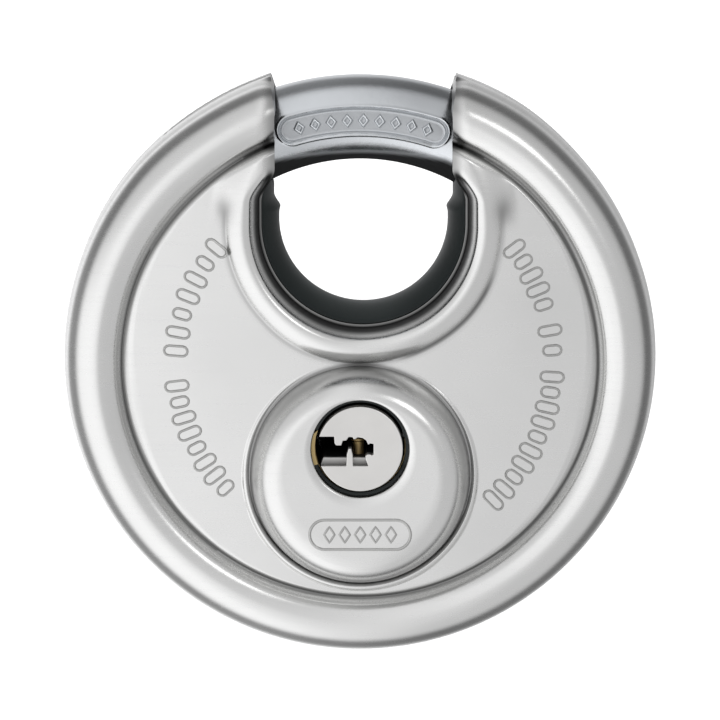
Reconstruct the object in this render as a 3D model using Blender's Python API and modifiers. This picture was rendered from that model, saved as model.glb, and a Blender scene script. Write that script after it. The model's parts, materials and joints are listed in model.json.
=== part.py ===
"""Disc padlock: two pressed half cases round a die-cast core, with a round shackle that
swings on the disc's own circle. The plug drives it through a toothed sector and an arc with
internal teeth.

Bench frame: the lock lies on its back, +X to the right, +Y towards the shackle, +Z out of
the keyhole face, with the middle of the disc at the origin. The empty at the root of the
tree stands it upright, so in the world the keyhole faces -Y and the shackle is at +Z, and
the world's origin is where a staple touches the shackle's underside. A clock angle is in
degrees from +Y, clockwise as seen from the keyhole face.
"""

import math

import bmesh
import bpy
from mathutils import Matrix

MM = 0.001
GAP = 0.3 * MM  # between pieces that would touch

# Case halves: heights are measured from the parting plane
DISC_RADIUS = 35.0 * MM
SHEET = 1.4 * MM
SEAM = 0.15 * MM
WEB_HEIGHT = 8.4 * MM
RIDGE_HEIGHT = 9.5 * MM
WEB_RADIUS = 27.6 * MM
BOSS_Y = -13.1 * MM
BOSS_RADIUS = 12.9 * MM
BOSS_FLAT = 9.3 * MM
FRONT_BOSS_HEIGHT = 14.2 * MM
REAR_BOSS_HEIGHT = 13.2 * MM
KEYHOLE_RADIUS = 5.7 * MM
DISC_STEPS = 56
BOSS_STEPS = 28
COLLAR_STEPS = 36
CORE_STEPS = 40

# Throat: a U, round at the bottom and open into the shackle's slot at the top
THROAT_Y = 16.3 * MM
THROAT_RADIUS = 9.96 * MM
SHEET_THROAT = 12.0 * MM
COLLAR_RADIUS = 16.2 * MM
SLOT_HALF = 10.4 * MM
SHOULDER_Y = 21.0 * MM
LINER_TOP = 20.6 * MM

# Shackle
ARC = 28.3 * MM
WIRE = 5.0 * MM
FREE_END = -45
TAIL_END = 190
TAIL_FLAT_Z = -2.4 * MM
RIVET_CIRCLE = 25.3 * MM
RIVET_CLOCKS = (116, 167)
RIVET_HOLE = 1.15 * MM

# Driver: an internal gear pair on a centre distance equal to the plug's offset
MODULE = 1.55 * MM
RACK_TEETH = 28
SECTOR_TEETH = 16
PRESSURE = math.radians(20)
ADDENDUM = 0.7 * MODULE
DEDENDUM = 0.9 * MODULE
THINNING = 0.2 * MM
PLUG_Y = -(RACK_TEETH - SECTOR_TEETH) * MODULE / 2
DRIVER_LOW = -4.5 * MM
DRIVER_HIGH = -2.7 * MM
SECTOR_TEETH_KEPT = 7
RACK_SPACES_KEPT = 7

# Core
CORE_RADIUS = 22.6 * MM
GUIDE_RADIUS = 30.5 * MM
CORE_FACE = WEB_HEIGHT - SHEET - GAP
CORE_THROAT = 13.7 * MM
CORE_BOSS = 11.0 * MM
REAR_FLANGE_Z = -5.7 * MM
POSTS = ((-15.5 * MM, 9.0 * MM), (15.5 * MM, 9.0 * MM), (17.6 * MM, -2.0 * MM), (-17.6 * MM, -2.0 * MM))

# Cylinder
PLUG_RADIUS = 5.0 * MM
PLUG_FACE = 13.9 * MM
PLUG_BACK = -2.2 * MM
TAIL_RADIUS = 2.6 * MM
TAIL_BACK = -9.8 * MM
HOUSING_RADIUS = 6.3 * MM
HOUSING_FRONT = 11.4 * MM
HOUSING_BACK = -2.1 * MM
BIBLE_HALF = 2.6 * MM
BIBLE_BOTTOM = -22.1 * MM
PIN_X = -0.1 * MM
PIN_RADIUS = 0.85 * MM
CHAMBER_RADIUS = 1.1 * MM
PIN_PLACES = tuple((9.8 - 2.6 * row) * MM for row in range(5))
KEY_PIN_TOPS = tuple(top * MM for top in (1.2, 0.4, 0.9, 0.1, 0.6))
HOUSING_PIN_AT = (2.9 * MM, -18.0 * MM)
DRIVER_PIN_LENGTH = 2.5 * MM
SPRING_TURNS = 3
STOP_RADIUS = 9.0 * MM
STOP_PIN = 1.0 * MM
SWING = 70
KEY_TURN = SWING * RACK_TEETH / SECTOR_TEETH


def clear_scene():
    for obj in list(bpy.data.objects):
        bpy.data.objects.remove(obj, do_unlink=True)


def collection(name):
    made = bpy.data.collections.new(name)
    bpy.context.scene.collection.children.link(made)
    return made


def empty(name, parent=None, location=(0, 0, 0), turn=(0, 0, 0)):
    made = bpy.data.objects.new(name, None)
    made.location = location
    made.rotation_euler = turn
    made.parent = parent
    made.empty_display_size = 0.01
    PARTS.objects.link(made)
    return made


def material(name, colour, roughness, metallic):
    made = bpy.data.materials.new(name)
    made.use_nodes = True
    surface = made.node_tree.nodes["Principled BSDF"]
    surface.inputs["Base Color"].default_value = (*colour, 1)
    surface.inputs["Roughness"].default_value = roughness
    surface.inputs["Metallic"].default_value = metallic
    return made


def clock_point(radius, clock, centre=(0, 0)):
    turn = math.radians(clock)
    return centre[0] + radius * math.sin(turn), centre[1] + radius * math.cos(turn)


def arc(radius, start, end, count, centre=(0, 0)):
    """Points along a circle, count steps from one clock angle to another, both ends included."""
    return [clock_point(radius, start + (end - start) * i / count, centre) for i in range(count + 1)]


def circle(radius, centre=(0, 0), count=32):
    return arc(radius, 0, 360, count, centre)[:-1]


def new_object(name, mesh, parent, location=(0, 0, 0)):
    made = bpy.data.objects.new(name, mesh)
    made.parent = parent
    made.location = location
    PARTS.objects.link(made)
    return made


def turned(name, parent, profile, steps, centre=(0, 0), closed=False):
    """A profile of (radius, height) turned about +Z. It runs down the outer side, from top to bottom."""
    mesh = bpy.data.meshes.new(name)
    edges = [(i, i + 1) for i in range(len(profile) - 1)]
    if closed:
        edges.append((len(profile) - 1, 0))
    mesh.from_pydata([(r, 0, z) for r, z in profile], edges, [])
    made = new_object(name, mesh, parent, (*centre, 0))
    screw = made.modifiers.new("Turn", "SCREW")
    screw.steps = steps
    screw.render_steps = steps
    screw.use_merge_vertices = True
    screw.merge_threshold = 1e-6
    return made


def block(name, parent, low, high):
    mesh = bpy.data.meshes.new(name)
    shape = bmesh.new()
    size = [b - a for a, b in zip(low, high)]
    middle = [(a + b) / 2 for a, b in zip(low, high)]
    bmesh.ops.create_cube(shape, size=1, matrix=Matrix.LocRotScale(middle, None, size))
    shape.to_mesh(mesh)
    shape.free()
    return new_object(name, mesh, parent)


def rods(name, parent, radius, low, high, centres, sides=20, along_y=False):
    """Cylinders on parallel axes in one mesh. Their centres are (x, y), or (x, z) for those along Y."""
    mesh = bpy.data.meshes.new(name)
    shape = bmesh.new()
    for a, b in centres:
        place = (a, (low + high) / 2, b) if along_y else (a, b, (low + high) / 2)
        turn = Matrix.Rotation(math.radians(90), 4, "X") if along_y else Matrix.Identity(4)
        bmesh.ops.create_cone(
            shape,
            cap_ends=True,
            segments=sides,
            radius1=radius,
            radius2=radius,
            depth=high - low,
            matrix=Matrix.Translation(place) @ turn,
        )
    shape.to_mesh(mesh)
    shape.free()
    return new_object(name, mesh, parent)


def as_mesh(curve):
    """A mesh object in place of a curve, with its caps welded on."""
    bpy.context.view_layer.update()
    graph = bpy.context.evaluated_depsgraph_get()
    mesh = bpy.data.meshes.new_from_object(curve.evaluated_get(graph))
    shape = bmesh.new()
    shape.from_mesh(mesh)
    bmesh.ops.remove_doubles(shape, verts=shape.verts, dist=1e-6)
    bmesh.ops.recalc_face_normals(shape, faces=shape.faces)
    shape.to_mesh(mesh)
    shape.free()
    made = bpy.data.objects.new(curve.name + "_mesh", mesh)
    made.parent = curve.parent
    made.location = curve.location
    PARTS.objects.link(made)
    name = curve.name
    bpy.data.objects.remove(curve, do_unlink=True)
    made.name = name
    return made


def prism(name, parent, outlines, low, high):
    """A flat outline, and any holes in it, drawn out from one height to another."""
    curve = bpy.data.curves.new(name, "CURVE")
    curve.dimensions = "2D"
    curve.fill_mode = "BOTH"
    curve.extrude = (high - low) / 2
    for outline in outlines:
        spline = curve.splines.new("POLY")
        spline.points.add(len(outline) - 1)
        spline.use_cyclic_u = True
        for point, (x, y) in zip(spline.points, outline):
            point.co = (x, y, 0, 1)
    return as_mesh(new_object(name, curve, parent, (0, 0, (low + high) / 2)))


def bar(name, parent, points, radius, roundness):
    """A round bar along a line of points."""
    curve = bpy.data.curves.new(name, "CURVE")
    curve.dimensions = "3D"
    curve.bevel_depth = radius
    curve.bevel_resolution = roundness
    curve.use_fill_caps = True
    spline = curve.splines.new("POLY")
    spline.points.add(len(points) - 1)
    for point, place in zip(spline.points, points):
        point.co = (*place, 1)
    return as_mesh(new_object(name, curve, parent))


def boolean(obj, operation, tools):
    for tool in tools:
        change = obj.modifiers.new(tool.name, "BOOLEAN")
        change.operation = operation
        change.solver = "EXACT"
        change.object = tool
        tool.hide_render = True
        tool.display_type = "WIRE"
        PARTS.objects.unlink(tool)
        CUTTERS.objects.link(tool)
    return obj


def cut(obj, *tools):
    return boolean(obj, "DIFFERENCE", tools)


def join(obj, *tools):
    return boolean(obj, "UNION", tools)


def finish(obj, look, smooth=30):
    """Gives a piece its material and shades its round faces smooth."""
    obj.data.materials.append(look)
    obj.data.shade_smooth()
    obj.data.set_sharp_from_angle(angle=math.radians(smooth))
    return obj


def u_outline(half, bottom_radius, top, half_above=None, shoulder=None):
    """A U round the throat's centre, closed at the top, with an optional step in its width."""
    centre = (0, THROAT_Y)
    points = arc(bottom_radius, 90, 270, 24, centre)
    if shoulder is None:
        return points + [(-half, top), (half, top)]
    return points + [
        (-half, shoulder),
        (-half_above, shoulder),
        (-half_above, top),
        (half_above, top),
        (half_above, shoulder),
        (half, shoulder),
    ]


def case_half(name, side, boss_height):
    """One pressed half, as if it were the front one. The empty that it hangs on turns the rear one over."""
    outside = [
        (0, WEB_HEIGHT),
        (WEB_RADIUS, WEB_HEIGHT),
        (29.4 * MM, 9.3 * MM),
        (31.2 * MM, RIDGE_HEIGHT),
        (32.6 * MM, 9.0 * MM),
        (33.8 * MM, 7.7 * MM),
        (34.6 * MM, 5.8 * MM),
        (DISC_RADIUS, 3.2 * MM),
        (DISC_RADIUS, SEAM),
        (0, SEAM),
    ]
    inside = [
        (0, WEB_HEIGHT - SHEET),
        (28.2 * MM, WEB_HEIGHT - SHEET),
        (30.8 * MM, 8.0 * MM),
        (32.5 * MM, 7.0 * MM),
        (33.4 * MM, 4.8 * MM),
        (DISC_RADIUS - SHEET, 3.0 * MM),
        (DISC_RADIUS - SHEET, -WIRE),
        (0, -WIRE),
    ]
    boss = [
        (0, boss_height),
        (BOSS_FLAT, boss_height),
        (10.7 * MM, boss_height - 0.55 * MM),
        (11.8 * MM, boss_height - 1.8 * MM),
        (12.5 * MM, boss_height - 3.6 * MM),
        (BOSS_RADIUS, WEB_HEIGHT + 0.2 * MM),
        (13.5 * MM, WEB_HEIGHT + 0.6 * MM),
        (14.1 * MM, WEB_HEIGHT),
        (14.1 * MM, WEB_HEIGHT - SHEET / 2),
        (0, WEB_HEIGHT - SHEET / 2),
    ]
    boss_inside = [
        (0, boss_height - SHEET),
        (9.0 * MM, boss_height - SHEET),
        (10.2 * MM, boss_height - 2.1 * MM),
        (11.0 * MM, boss_height - 3.4 * MM),
        (11.4 * MM, boss_height - 5.2 * MM),
        (11.4 * MM, WIRE),
        (0, WIRE),
    ]
    collar = [
        (SHEET_THROAT, 8.0 * MM),
        (12.6 * MM, 8.9 * MM),
        (13.4 * MM, 9.3 * MM),
        (14.5 * MM, 9.4 * MM),
        (15.6 * MM, 9.0 * MM),
        (COLLAR_RADIUS, WEB_HEIGHT - 0.1 * MM),
        (COLLAR_RADIUS - 0.2 * MM, WEB_HEIGHT - SHEET / 2),
        (13.4 * MM, WEB_HEIGHT - SHEET / 2),
        (13.4 * MM, 6.6 * MM),
        (SHEET_THROAT, 6.6 * MM),
    ]
    shell = turned(name, side, outside, DISC_STEPS)
    cut(shell, turned(name + "_hollow", side, inside, DISC_STEPS))
    join(shell, turned(name + "_boss", side, boss, BOSS_STEPS, (0, BOSS_Y)))
    cut(shell, turned(name + "_boss_hollow", side, boss_inside, BOSS_STEPS, (0, BOSS_Y)))
    join(shell, turned(name + "_collar", side, collar, COLLAR_STEPS, (0, THROAT_Y), closed=True))
    slot = u_outline(SHEET_THROAT, SHEET_THROAT, 40 * MM, SLOT_HALF, SHOULDER_Y)
    cut(shell, prism(name + "_slot", side, [slot], -1 * MM, 12 * MM))
    return shell


def front_shell():
    shell = case_half("front_shell", FRONT, FRONT_BOSS_HEIGHT)
    cut(shell, rods("keyhole", FRONT, KEYHOLE_RADIUS, 10 * MM, 16 * MM, [(0, PLUG_Y)], 36))
    return finish(shell, STAINLESS)


def rear_shell():
    return finish(case_half("rear_shell", REAR, REAR_BOSS_HEIGHT), STAINLESS)


def throat_liner():
    """A U that lines the hole through both halves, with a flange between them."""
    half = SHEET_THROAT - GAP
    lip = 7.9 * MM
    liner = prism("throat_liner", LOCK, [u_outline(half, half, LINER_TOP)], -lip, lip)
    flange = 13.2 * MM
    outline = u_outline(flange, flange, 18.6 * MM)
    join(liner, prism("liner_flange", LOCK, [outline], -6.3 * MM, 6.3 * MM))
    bore = u_outline(THROAT_RADIUS, THROAT_RADIUS, 30 * MM, 10.3 * MM, 17.8 * MM)
    cut(liner, prism("liner_bore", LOCK, [bore], -9 * MM, 9 * MM))
    inner = ARC - WIRE - GAP
    ring = [(ARC + WIRE, 5.5 * MM), (ARC + WIRE, -5.5 * MM), (inner, -5.5 * MM), (inner, 5.5 * MM)]
    cut(liner, turned("liner_shackle_way", LOCK, ring, CORE_STEPS, closed=True))
    return finish(liner, BLACK_PLASTIC)


def core_front():
    """The casting that holds the cylinder. Its flange guides the shackle's front side."""
    profile = [
        (0, CORE_FACE),
        (GUIDE_RADIUS, CORE_FACE),
        (GUIDE_RADIUS, WIRE + GAP),
        (CORE_RADIUS, WIRE + GAP),
        (CORE_RADIUS, -2.3 * MM),
        (0, -2.3 * MM),
    ]
    boss = [(0, 9.6 * MM), (10.7 * MM, 9.6 * MM), (CORE_BOSS, 8.8 * MM), (CORE_BOSS, WIRE), (0, WIRE)]
    core = turned("core_front", LOCK, profile, CORE_STEPS)
    join(core, turned("core_front_boss", LOCK, boss, BOSS_STEPS, (0, BOSS_Y)))
    throat = u_outline(CORE_THROAT, CORE_THROAT, 40 * MM)
    cut(core, prism("core_front_throat", LOCK, [throat], -10 * MM, 10 * MM))
    pocket = cylinder_outline(HOUSING_RADIUS + GAP, BIBLE_HALF + GAP, -23.2 * MM)
    cut(core, prism("core_front_pocket", LOCK, [pocket], -5 * MM, 14 * MM))
    cut(core, rods("core_front_threads", LOCK, 1.3 * MM, -5 * MM, 3.6 * MM, POSTS, 12))
    cut(core, rods("core_front_stops", LOCK, STOP_PIN + GAP, -5 * MM, 1.2 * MM, stop_places(), 12))
    cut(core, rods("core_front_pin", LOCK, 0.9 * MM, -5 * MM, 6.9 * MM, [HOUSING_PIN_AT], 12))
    return finish(core, DIE_CAST)


def core_rear():
    """The cover behind the driver, with the bearing of the plug's tail and a post for each screw."""
    profile = [
        (0, DRIVER_LOW - GAP),
        (CORE_RADIUS, DRIVER_LOW - GAP),
        (CORE_RADIUS, REAR_FLANGE_Z),
        (GUIDE_RADIUS, REAR_FLANGE_Z),
        (GUIDE_RADIUS, -CORE_FACE),
        (0, -CORE_FACE),
    ]
    boss = [
        (0, REAR_FLANGE_Z - GAP),
        (CORE_BOSS, REAR_FLANGE_Z - GAP),
        (CORE_BOSS, -7.8 * MM),
        (10.5 * MM, -9.6 * MM),
        (9.7 * MM, -10.9 * MM),
        (9.0 * MM, -11.4 * MM),
        (0, -11.4 * MM),
    ]
    core = turned("core_rear", LOCK, profile, CORE_STEPS)
    join(core, turned("core_rear_boss", LOCK, boss, BOSS_STEPS, (0, BOSS_Y)))
    throat = u_outline(CORE_THROAT, CORE_THROAT, 40 * MM)
    cut(core, prism("core_rear_throat", LOCK, [throat], -14 * MM, 0))
    join(core, rods("core_posts", LOCK, 1.9 * MM, -5.2 * MM, -2.6 * MM, POSTS, 12))
    cut(core, rods("core_rear_holes", LOCK, 1.3 * MM, -8 * MM, 0, POSTS, 12))
    cut(core, rods("core_rear_sinks", LOCK, 2.3 * MM, -8 * MM, -5.4 * MM, POSTS, 12))
    cut(core, rods("core_rear_bearing", LOCK, TAIL_RADIUS + GAP, -14 * MM, 0, [(0, PLUG_Y)], 20))
    cut(core, rods("core_rear_clip_room", LOCK, 4.6 * MM, -14 * MM, -8.3 * MM, [(0, PLUG_Y)], 24))
    cut(core, rods("core_rear_stops", LOCK, STOP_PIN + GAP, -5.7 * MM, 0, stop_places(), 12))
    return finish(core, DIE_CAST)


def core_screw(number, centre):
    """A cheese-head screw from behind, with a hexagon socket."""
    name = f"core_screw_{number}"
    profile = [
        (0, 3.2 * MM),
        (0.7 * MM, 3.2 * MM),
        (1.0 * MM, 2.8 * MM),
        (1.0 * MM, -5.7 * MM),
        (1.9 * MM, -5.7 * MM),
        (1.9 * MM, -6.4 * MM),
        (1.7 * MM, -6.6 * MM),
        (0, -6.6 * MM),
    ]
    screw = turned(name, LOCK, profile, 16, centre)
    cut(screw, rods(name + "_socket", LOCK, 0.9 * MM, -7 * MM, -6.1 * MM, [centre], 6))
    return finish(screw, ZINC_STEEL)


def cylinder_outline(radius, half, bottom):
    """The round body of the cylinder with the pin block under it."""
    meet = 180 - math.degrees(math.asin(half / radius))
    return arc(radius, -meet, meet, 28, (0, PLUG_Y)) + [(half, bottom), (-half, bottom)]


def cylinder_housing():
    outline = cylinder_outline(HOUSING_RADIUS, BIBLE_HALF, BIBLE_BOTTOM)
    bore = circle(PLUG_RADIUS + GAP, (0, PLUG_Y), 32)
    housing = prism("cylinder_housing", LOCK, [outline, bore], HOUSING_BACK, HOUSING_FRONT)
    centre = (0, PLUG_Y)
    lug = arc(HOUSING_RADIUS, -112, -68, 8, centre)
    lug += arc(PLUG_RADIUS + 0.32 * MM, -68, -112, 8, centre)
    join(housing, prism("housing_lug", LOCK, [lug], HOUSING_FRONT - 1 * MM, 12.5 * MM))
    places = [(PIN_X, z) for z in PIN_PLACES]
    high = PLUG_Y - 3 * MM
    cut(housing, rods("chambers", LOCK, CHAMBER_RADIUS, -24 * MM, high, places, 12, along_y=True))
    cut(housing, rods("housing_notch", LOCK, 0.9 * MM, -5 * MM, 6.9 * MM, [HOUSING_PIN_AT], 12))
    return finish(housing, BRASS)


def housing_pin():
    pin = rods("housing_pin", LOCK, 0.6 * MM, -1.9 * MM, 6.6 * MM, [HOUSING_PIN_AT], 12)
    return finish(pin, ZINC_STEEL)


def drill_plate():
    """A hard plate under the front of the boss. Its top and left side are cut away for the lug."""
    plate = prism("drill_plate", LOCK, [circle(8.9 * MM, (0, BOSS_Y), 48)], 12.0 * MM, 12.5 * MM)
    cut(plate, rods("plate_hole", LOCK, PLUG_RADIUS + 0.35 * MM, 11 * MM, 14 * MM, [(0, PLUG_Y)], 40))
    cut(plate, block("plate_top", LOCK, (-9 * MM, PLUG_Y + 2.5 * MM, 11 * MM), (9 * MM, 0, 14 * MM)))
    cut(plate, block("plate_left", LOCK, (-9 * MM, PLUG_Y - 2.8 * MM, 11 * MM), (-2 * MM, 0, 14 * MM)))
    return finish(plate, BLACK_STEEL)


def spring_cover():
    low = (-1.9 * MM, -22.9 * MM, -1.9 * MM)
    high = (1.9 * MM, -22.4 * MM, 11.2 * MM)
    return finish(block("spring_cover", LOCK, low, high), BRASS)


def upright(obj, place):
    """Stands a piece that was turned about +Z along +Y."""
    obj.rotation_euler = (math.radians(-90), 0, 0)
    obj.location = place
    return obj


def pin_stack(number, z, top):
    """A key pin in the plug, and its driver pin and spring in the housing, parted at the shear line."""
    key_low = -(PLUG_RADIUS - 0.05 * MM)
    profile = [
        (0, top),
        (0.35 * MM, top),
        (PIN_RADIUS, top - 0.55 * MM),
        (PIN_RADIUS, key_low + 0.2 * MM),
        (0.65 * MM, key_low),
        (0, key_low),
    ]
    key_pin = turned(f"key_pin_{number}", PLUG, profile, 12)
    finish(upright(key_pin, (PIN_X, 0, z)), BRASS)

    high = PLUG_Y - PLUG_RADIUS - 0.55 * MM
    low = high - DRIVER_PIN_LENGTH
    profile = [(0, high), (PIN_RADIUS, high), (PIN_RADIUS, low), (0, low)]
    driver_pin = turned(f"driver_pin_{number}", LOCK, profile, 12)
    finish(upright(driver_pin, (PIN_X, 0, z)), BRASS)

    wire, coil, per_turn = 0.16 * MM, 0.66 * MM, 6
    start, end = low - GAP - wire, BIBLE_BOTTOM - GAP + wire
    points = []
    for step in range(SPRING_TURNS * per_turn + 1):
        turn = 2 * math.pi * step / per_turn
        y = start + (end - start) * step / (SPRING_TURNS * per_turn)
        points.append((PIN_X + coil * math.cos(turn), y, z + coil * math.sin(turn)))
    finish(bar(f"pin_spring_{number}", LOCK, points, wire, 1), SPRING_STEEL)


def stop_places():
    """Where the stop pins stand: one behind each end of the sector's travel."""
    spare = math.degrees((STOP_PIN + GAP) / STOP_RADIUS)
    first, last = sector_ends()
    centre = (0, PLUG_Y)
    return [
        clock_point(STOP_RADIUS, first - spare, centre),
        clock_point(STOP_RADIUS, last + KEY_TURN + spare, centre),
    ]


def stop_pin(name, centre):
    return finish(rods(name, LOCK, STOP_PIN, -5.4 * MM, 0.9 * MM, [centre], 16), ZINC_STEEL)


def involute(angle):
    return math.tan(angle) - angle


def tooth_half(radius, teeth, thinning):
    """Half of an involute tooth's angle at a radius, in degrees."""
    pitch = MODULE * teeth / 2
    middle = math.pi / (2 * teeth) - thinning / (2 * pitch)
    rolled = math.acos(min(1, pitch * math.cos(PRESSURE) / radius))
    return math.degrees(middle + involute(PRESSURE) - involute(rolled))


def tooth(clock, low, high, teeth, thinning, centre=(0, 0)):
    """One tooth's outline, clockwise: up one flank and down the other."""
    radii = [low + (high - low) * i / 4 for i in range(5)]
    up = [clock_point(r, clock - tooth_half(r, teeth, thinning), centre) for r in radii]
    down = [clock_point(r, clock + tooth_half(r, teeth, thinning), centre) for r in reversed(radii)]
    return up + down


def sector_ends():
    """Clock angles of the sector's two straight edges, with the first tooth on the line to the rack."""
    pitch = 360 / SECTOR_TEETH
    return 180 - (SECTOR_TEETH_KEPT - 0.5) * pitch, 180 + 0.5 * pitch


def tail_outline(radius, flat):
    """A circle about the plug's axis with one flat side."""
    meet = math.degrees(math.acos(flat / radius))
    return arc(radius, meet, 360 - meet, 24, (0, PLUG_Y))


def driver_sector():
    centre = (0, PLUG_Y)
    pitch = 360 / SECTOR_TEETH
    low = MODULE * SECTOR_TEETH / 2 - DEDENDUM
    high = MODULE * SECTOR_TEETH / 2 + ADDENDUM
    first, last = sector_ends()
    outline = [clock_point(low, first, centre)]
    for back in reversed(range(SECTOR_TEETH_KEPT)):
        outline += tooth(180 - back * pitch, low, high, SECTOR_TEETH, THINNING, centre)
    outline += [clock_point(low, last, centre)]
    outline += arc(4.6 * MM, last + 12, first + 348, 16, centre)
    hole = tail_outline(TAIL_RADIUS + GAP, 1.8 * MM + GAP)
    sector = prism("driver_sector", LOCK, [outline, hole], DRIVER_LOW, DRIVER_HIGH)
    on_axis(sector)
    return finish(sector, ZINC_STEEL)


def on_axis(obj):
    """Moves a piece drawn in the bench frame onto the plug's empty, without moving it in space."""
    obj.data.transform(Matrix.Translation((0, -PLUG_Y, 0)))
    obj.parent = PLUG
    return obj


def keyway_outline():
    """The warded keyway, about the plug's axis. It breaks out of the plug's left side."""
    floor, roof = -1.5 * MM, 1.62 * MM
    return [
        (-6.0 * MM, floor),
        (-1.62 * MM, floor),
        (-1.62 * MM, 0.25 * MM),
        (-0.86 * MM, 0.25 * MM),
        (-0.8 * MM, floor),
        (0.6 * MM, floor),
        (0.72 * MM, -0.59 * MM),
        (1.56 * MM, -0.59 * MM),
        (1.56 * MM, 0.76 * MM),
        (0.85 * MM, 0.76 * MM),
        (0.3 * MM, 1.5 * MM),
        (-0.3 * MM, roof),
        (-2.31 * MM, roof),
        (-2.31 * MM, 0.47 * MM),
        (-3.07 * MM, 0.47 * MM),
        (-3.07 * MM, roof),
        (-6.0 * MM, roof),
    ]


def plug():
    """The plug with its tail, about its own axis."""
    tail_shoulder, groove_high, groove_low = PLUG_BACK, -8.45 * MM, -9.35 * MM
    profile = [
        (0, PLUG_FACE),
        (PLUG_RADIUS - 0.15 * MM, PLUG_FACE),
        (PLUG_RADIUS, PLUG_FACE - 0.15 * MM),
        (PLUG_RADIUS, tail_shoulder),
        (TAIL_RADIUS, tail_shoulder),
        (TAIL_RADIUS, groove_high),
        (2.0 * MM, groove_high),
        (2.0 * MM, groove_low),
        (TAIL_RADIUS, groove_low),
        (TAIL_RADIUS, TAIL_BACK),
        (0, TAIL_BACK),
    ]
    body = turned("plug", PLUG, profile, 32)
    cut(body, prism("keyway", PLUG, [keyway_outline()], -1.4 * MM, 16 * MM))
    places = [(PIN_X, z) for z in PIN_PLACES]
    cut(body, rods("plug_chambers", PLUG, CHAMBER_RADIUS, -6 * MM, 1.45 * MM, places, 12, along_y=True))
    low = (-4 * MM, 1.8 * MM, DRIVER_LOW - 0.1 * MM)
    high = (4 * MM, 4 * MM, DRIVER_HIGH + 0.1 * MM)
    cut(body, block("tail_flat", PLUG, low, high))
    return finish(body, NICKEL)


def tail_clip():
    """An open retaining ring in the groove of the plug's tail."""
    outline = arc(3.9 * MM, 25, 335, 28) + arc(2.3 * MM, 335, 25, 28)
    return finish(prism("tail_clip", PLUG, [outline], -9.2 * MM, -8.6 * MM), SPRING_STEEL)


def rivet_places():
    return [clock_point(RIVET_CIRCLE, clock) for clock in RIVET_CLOCKS]


def shackle():
    """A round bar on the disc's circle. Its tail is milled flat behind for the rack."""
    points = [(*place, 0) for place in arc(ARC, FREE_END, TAIL_END, 34)]
    body = bar("shackle", SHACKLE, points, WIRE, 6)
    seat = arc(36 * MM, 96, TAIL_END + 5, 20) + arc(19 * MM, TAIL_END + 5, 96, 20)
    cut(body, prism("rack_seat", SHACKLE, [seat], -8 * MM, TAIL_FLAT_Z))
    cut(body, rods("rivet_holes", SHACKLE, RIVET_HOLE, -8 * MM, 1.5 * MM, rivet_places(), 16))
    return finish(body, ZINC_STEEL)


def shackle_rack():
    """The arc with internal teeth. Its spaces have the outline of a matching outer gear's teeth."""
    pitch = 360 / RACK_TEETH
    tip = MODULE * RACK_TEETH / 2 - ADDENDUM
    root = MODULE * RACK_TEETH / 2 + DEDENDUM
    outer = 27.4 * MM
    first = 180 - (RACK_SPACES_KEPT - 0.5) * pitch
    last = 180 + 0.5 * pitch
    outline = [clock_point(tip, first)]
    for back in reversed(range(RACK_SPACES_KEPT)):
        outline += tooth(180 - back * pitch, tip, root, RACK_TEETH, -THINNING)
    outline += [clock_point(tip, last)]
    outline += arc(outer, last, first, 24)
    holes = [circle(RIVET_HOLE, place, 16) for place in rivet_places()]
    rack = prism("shackle_rack", SHACKLE, [outline, *holes], DRIVER_LOW, DRIVER_HIGH)
    return finish(rack, ZINC_STEEL)


def rack_rivet(number, centre):
    back = DRIVER_LOW - GAP
    profile = [
        (0, 1.2 * MM),
        (0.85 * MM, 1.2 * MM),
        (0.85 * MM, back),
        (1.7 * MM, back),
        (1.5 * MM, -5.3 * MM),
        (0, -5.4 * MM),
    ]
    rivet = turned(f"rack_rivet_{number}", SHACKLE, profile, 16, centre)
    return finish(rivet, ZINC_STEEL)


clear_scene()
PARTS = collection("disc_padlock")
CUTTERS = collection("cutters")

STAINLESS = material("stainless", (0.72, 0.72, 0.70), 0.3, 1.0)
ZINC_STEEL = material("zinc_plated_steel", (0.62, 0.64, 0.66), 0.35, 1.0)
BLACK_STEEL = material("blackened_steel", (0.03, 0.03, 0.03), 0.5, 1.0)
SPRING_STEEL = material("spring_steel", (0.5, 0.5, 0.5), 0.3, 1.0)
DIE_CAST = material("die_cast_zinc", (0.5, 0.51, 0.53), 0.5, 1.0)
BRASS = material("brass", (0.72, 0.55, 0.27), 0.3, 1.0)
NICKEL = material("nickel_plated_brass", (0.7, 0.69, 0.66), 0.35, 1.0)
BLACK_PLASTIC = material("black_plastic", (0.03, 0.035, 0.035), 0.45, 0.0)

LOCK = empty("lock", location=(0, 0, WIRE - ARC), turn=(math.radians(90), 0, 0))
FRONT = empty("front_side", LOCK)
REAR = empty("rear_side", LOCK, turn=(0, math.radians(180), 0))
PLUG = empty("plug_axis", LOCK, location=(0, PLUG_Y, 0))
SHACKLE = empty("shackle_axis", LOCK)

front_shell()
rear_shell()
throat_liner()
core_front()
core_rear()
for index, post in enumerate(POSTS, 1):
    core_screw(index, post)
cylinder_housing()
housing_pin()
drill_plate()
spring_cover()
for index, (place_z, key_pin_top) in enumerate(zip(PIN_PLACES, KEY_PIN_TOPS), 1):
    pin_stack(index, place_z, key_pin_top)
closed_stop, open_stop = stop_places()
stop_pin("closed_stop_pin", closed_stop)
stop_pin("open_stop_pin", open_stop)
plug()
driver_sector()
tail_clip()
shackle()
shackle_rack()
for index, hole in enumerate(rivet_places(), 1):
    rack_rivet(index, hole)
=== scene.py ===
"""Disc padlock: the fine surfaces and finishes of its pieces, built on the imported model.

Shapes are worked out in the bench frame, in millimetres: X right, Y towards the shackle, Z out
of the keyhole face, with the middle of the disc at the origin. upright() stands them in the
world. A clock angle is in degrees from +Y, clockwise as seen from the keyhole face.
"""

import json
import math

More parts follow.
